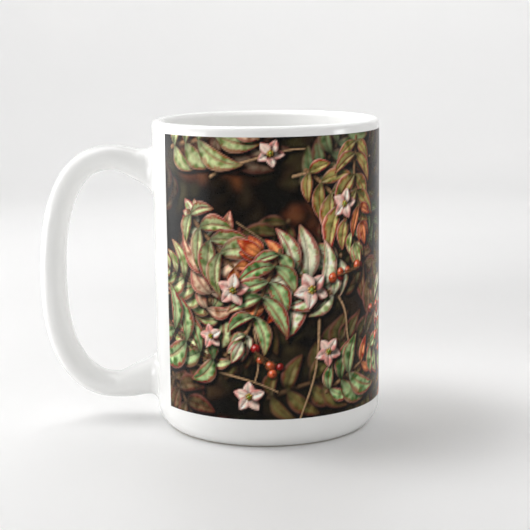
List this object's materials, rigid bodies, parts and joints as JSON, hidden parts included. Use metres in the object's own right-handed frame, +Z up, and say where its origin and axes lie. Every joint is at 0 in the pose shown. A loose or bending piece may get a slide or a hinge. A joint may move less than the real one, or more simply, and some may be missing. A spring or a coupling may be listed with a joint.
{
  "type": "mug",
  "caption": "White glazed drinking mug with straight sides, a rounded foot corner, a tall open bow handle and a wraparound print of leaves.",
  "frame": {"origin": "on the table, under the middle of the whole outline, handle included", "axes": "+Z up along the cup's axis, which stands at x = +22.8 mm; handle towards -X, its plane is y = 0"},
  "size_m": [0.1316, 0.086, 0.1175],
  "materials": {
    "glaze": "white glossy glaze, bare fired clay on the foot ring",
    "print": "dark leaf print fused into the glossy glaze"
  },
  "bodies": {
    "root": {"mug": "glaze"}
  },
  "joints": []
}
